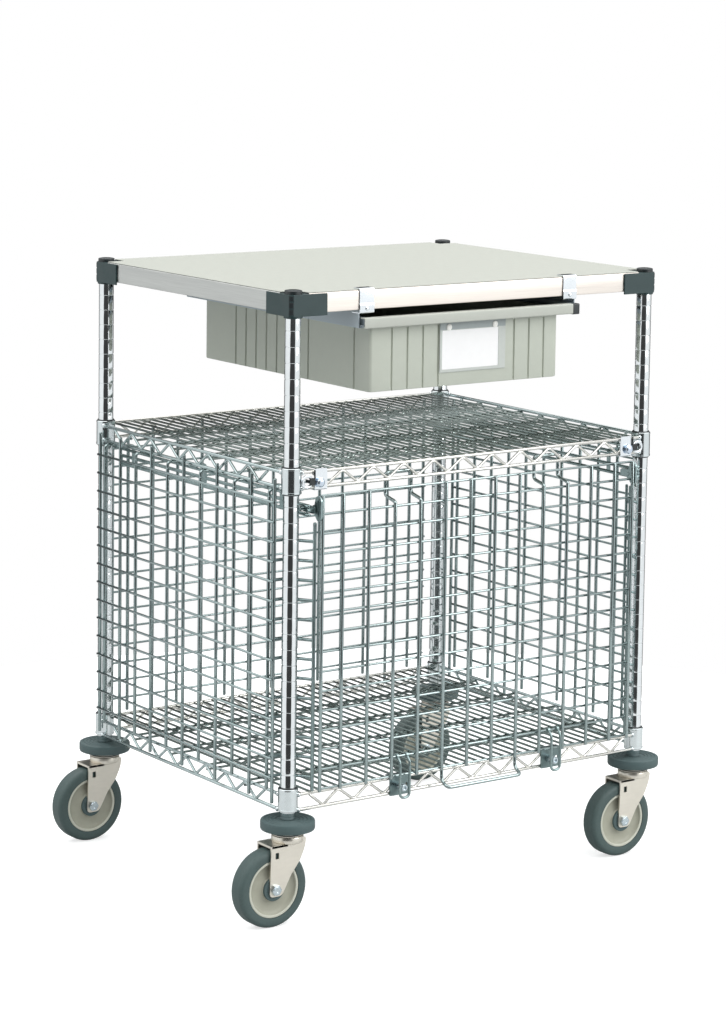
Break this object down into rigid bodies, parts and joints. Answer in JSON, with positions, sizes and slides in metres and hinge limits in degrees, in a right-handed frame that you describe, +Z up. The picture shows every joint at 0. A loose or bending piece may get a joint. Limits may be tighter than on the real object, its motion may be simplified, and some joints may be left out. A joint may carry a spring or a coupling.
{
  "type": "wire shelf cart",
  "caption": "Wheeled wire shelf cart with a worksurface, an under-slung sliding tote drawer, a wire-caged lower bay with a lift-up slide-back door, and swivel casters.",
  "frame": {"origin": "on the floor, at the middle of the bounding box", "axes": "+Z up, -Y towards the door and drawer front, +X to the right seen from the front"},
  "size_m": [0.8626, 0.6648, 1.018],
  "materials": {
    "post_chrome": "polished",
    "black_plastic": "satin",
    "laminate": "matte",
    "stainless": "brushed",
    "slate_plastic": "satin",
    "deck_wire": "bright",
    "truss_wire": "polished",
    "collar_chrome": "polished",
    "bright_steel": "polished",
    "panel_wire": "bright",
    "door_wire": "bright",
    "zinc": "zinc plated",
    "tote_plastic": "moulded",
    "beige_metal": "satin paint",
    "grey_metal": "satin paint",
    "clear_vinyl": "clear, glossy",
    "card": "paper",
    "white_plastic": "moulded",
    "nickel": "nickel plated",
    "bolt_zinc": "zinc plated",
    "bumper_rubber": "matte",
    "hub_plastic": "moulded",
    "tread": "matte"
  },
  "bodies": {
    "root": {"front_posts": "post_chrome", "back_posts": "post_chrome", "post_caps": "black_plastic", "worksurface_top": "laminate", "worksurface_rim": "stainless", "worksurface_corners": "slate_plastic", "middle_shelf_deck": "deck_wire", "middle_shelf_trusses": "truss_wire", "middle_shelf_collars": "collar_chrome", "bottom_shelf_deck": "deck_wire", "bottom_shelf_trusses": "truss_wire", "bottom_shelf_collars": "collar_chrome", "shelf_sleeves": "black_plastic", "release_brackets": "bright_steel", "release_tabs": "black_plastic", "side_panel_left": "panel_wire", "side_panel_right": "panel_wire", "back_panel": "panel_wire", "panel_hooks": "panel_wire", "door_jambs": "panel_wire", "guide_rail_left": "panel_wire", "guide_rail_right": "panel_wire", "latch_brackets": "zinc", "latch_studs": "zinc", "drawer_runners": "grey_metal", "drawer_clips": "bright_steel", "caster_stems": "nickel", "bumpers": "bumper_rubber"},
    "button_left": {"release_button_left": "bright_steel"},
    "button_right": {"release_button_right": "bright_steel"},
    "carrier": {"door_carriers": "zinc"},
    "door": {"door_grid": "door_wire", "door_loops": "door_wire", "door_handle": "door_wire", "door_lugs": "zinc"},
    "bail_left": {"latch_bail_left": "zinc"},
    "bail_right": {"latch_bail_right": "zinc"},
    "drawer": {"drawer_tote": "tote_plastic", "drawer_front_rail": "beige_metal", "drawer_end_cap": "black_plastic", "drawer_channels": "grey_metal", "label_pocket": "clear_vinyl", "label_card": "card", "label_rivets": "white_plastic"},
    "caster_front_left": {"fork_front_left": "nickel", "axle_front_left": "bolt_zinc"},
    "wheel_front_left": {"hub_front_left": "hub_plastic", "tyre_front_left": "tread"},
    "caster_front_right": {"fork_front_right": "nickel", "axle_front_right": "bolt_zinc"},
    "wheel_front_right": {"hub_front_right": "hub_plastic", "tyre_front_right": "tread"},
    "caster_back_left": {"fork_back_left": "nickel", "axle_back_left": "bolt_zinc"},
    "wheel_back_left": {"hub_back_left": "hub_plastic", "tyre_back_left": "tread"},
    "caster_back_right": {"fork_back_right": "nickel", "axle_back_right": "bolt_zinc"},
    "wheel_back_right": {"hub_back_right": "hub_plastic", "tyre_back_right": "tread"}
  },
  "joints": [
    {"name": "button_left_press", "type": "slide", "parent": "root", "child": "button_left", "axis": [0, 1, 0], "range_m": [0, 0.0035]},
    {"name": "button_right_press", "type": "slide", "parent": "root", "child": "button_right", "axis": [0, 1, 0], "range_m": [0, 0.0035]},
    {"name": "door_slide", "type": "slide", "parent": "root", "child": "carrier", "axis": [0, 1, 0], "range_m": [0, 0.36]},
    {"name": "door_swing", "type": "hinge", "parent": "carrier", "child": "door", "pos_m": [0.02725, -0.3, 0.668], "axis": [-1, 0, 0], "range_deg": [0, 90]},
    {"name": "latch_left_swing", "type": "hinge", "parent": "door", "child": "bail_left", "pos_m": [-0.12775, -0.3106, 0.24875], "axis": [-1, 0, 0], "range_deg": [0, 110]},
    {"name": "latch_right_swing", "type": "hinge", "parent": "door", "child": "bail_right", "pos_m": [0.18625, -0.3106, 0.24875], "axis": [-1, 0, 0], "range_deg": [0, 110]},
    {"name": "drawer_slide", "type": "slide", "parent": "root", "child": "drawer", "axis": [0, -1, 0], "range_m": [0, 0.33]},
    {"name": "swivel_front_left", "type": "hinge", "parent": "root", "child": "caster_front_left", "pos_m": [-0.33275, -0.286, 0.141], "axis": [0, 0, 1], "continuous": true},
    {"name": "roll_front_left", "type": "hinge", "parent": "caster_front_left", "child": "wheel_front_left", "pos_m": [-0.36775, -0.286, 0.0635], "axis": [0, 1, 0], "continuous": true},
    {"name": "swivel_front_right", "type": "hinge", "parent": "root", "child": "caster_front_right", "pos_m": [0.38725, -0.286, 0.141], "axis": [0, 0, 1], "continuous": true},
    {"name": "roll_front_right", "type": "hinge", "parent": "caster_front_right", "child": "wheel_front_right", "pos_m": [0.35225, -0.286, 0.0635], "axis": [0, 1, 0], "continuous": true},
    {"name": "swivel_back_left", "type": "hinge", "parent": "root", "child": "caster_back_left", "pos_m": [-0.33275, 0.286, 0.141], "axis": [0, 0, 1], "continuous": true},
    {"name": "roll_back_left", "type": "hinge", "parent": "caster_back_left", "child": "wheel_back_left", "pos_m": [-0.36775, 0.286, 0.0635], "axis": [0, 1, 0], "continuous": true},
    {"name": "swivel_back_right", "type": "hinge", "parent": "root", "child": "caster_back_right", "pos_m": [0.38725, 0.286, 0.141], "axis": [0, 0, 1], "continuous": true},
    {"name": "roll_back_right", "type": "hinge", "parent": "caster_back_right", "child": "wheel_back_right", "pos_m": [0.35225, 0.286, 0.0635], "axis": [0, 1, 0], "continuous": true}
  ],
  "couplings": [
    {"joint": "door_slide", "follows": "door_swing", "m_per_rad": 0.22918}
  ]
}
